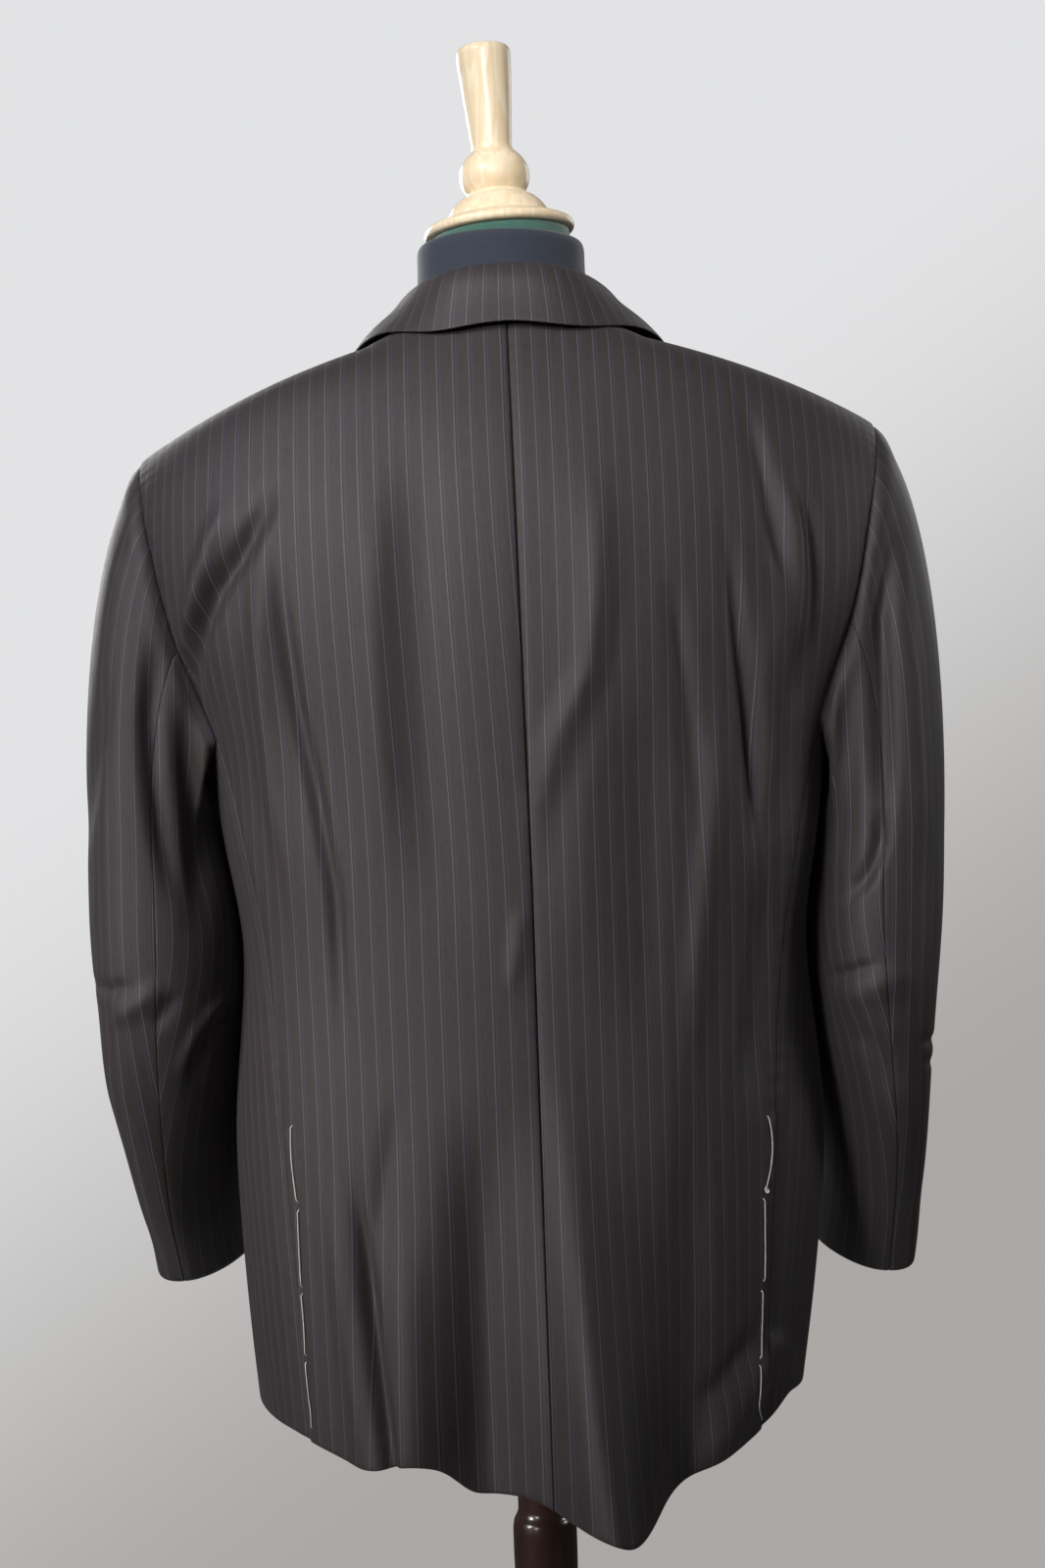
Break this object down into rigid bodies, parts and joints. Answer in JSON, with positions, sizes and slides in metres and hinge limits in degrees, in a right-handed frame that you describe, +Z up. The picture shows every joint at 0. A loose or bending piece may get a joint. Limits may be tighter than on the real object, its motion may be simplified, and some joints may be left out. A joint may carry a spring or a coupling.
{
  "type": "suit jacket on dress form",
  "caption": "Dark pinstriped wool suit jacket with turned collar, lapels and basted side vents, worn by a limbless dress form on a turned wooden stand.",
  "frame": {"origin": "centre of the stand's underside, on the floor", "axes": "+Z up, the back of the jacket faces +Y and its front -Y, the wearer's left is +X"},
  "size_m": [0.6223, 0.4039, 1.6386],
  "materials": {
    "pinstripe_wool": "dark brown-grey worsted wool with fine lengthwise stripes, soft sheen",
    "navy_jersey": "dark navy jersey cover, matt",
    "green_felt": "green felt, matt",
    "varnished_beech": "pale beech, satin varnish",
    "dark_mahogany": "dark stained mahogany, polished",
    "dark_horn": "dark horn, satin"
  },
  "bodies": {
    "root": {"back_left": "pinstripe_wool", "back_right": "pinstripe_wool", "side_left": "pinstripe_wool", "side_right": "pinstripe_wool", "vent_under_left": "pinstripe_wool", "vent_under_right": "pinstripe_wool", "front_left": "pinstripe_wool", "front_right": "pinstripe_wool", "lapel_left": "pinstripe_wool", "lapel_right": "pinstripe_wool", "sleeve_top_left": "pinstripe_wool", "sleeve_top_right": "pinstripe_wool", "sleeve_under_left": "pinstripe_wool", "sleeve_under_right": "pinstripe_wool", "collar": "pinstripe_wool", "button_1": "dark_horn", "button_2": "dark_horn", "form_torso": "navy_jersey", "neck_felt": "green_felt", "neck_cap": "varnished_beech", "stand_base": "dark_mahogany", "stand_pole": "dark_mahogany"}
  },
  "joints": []
}
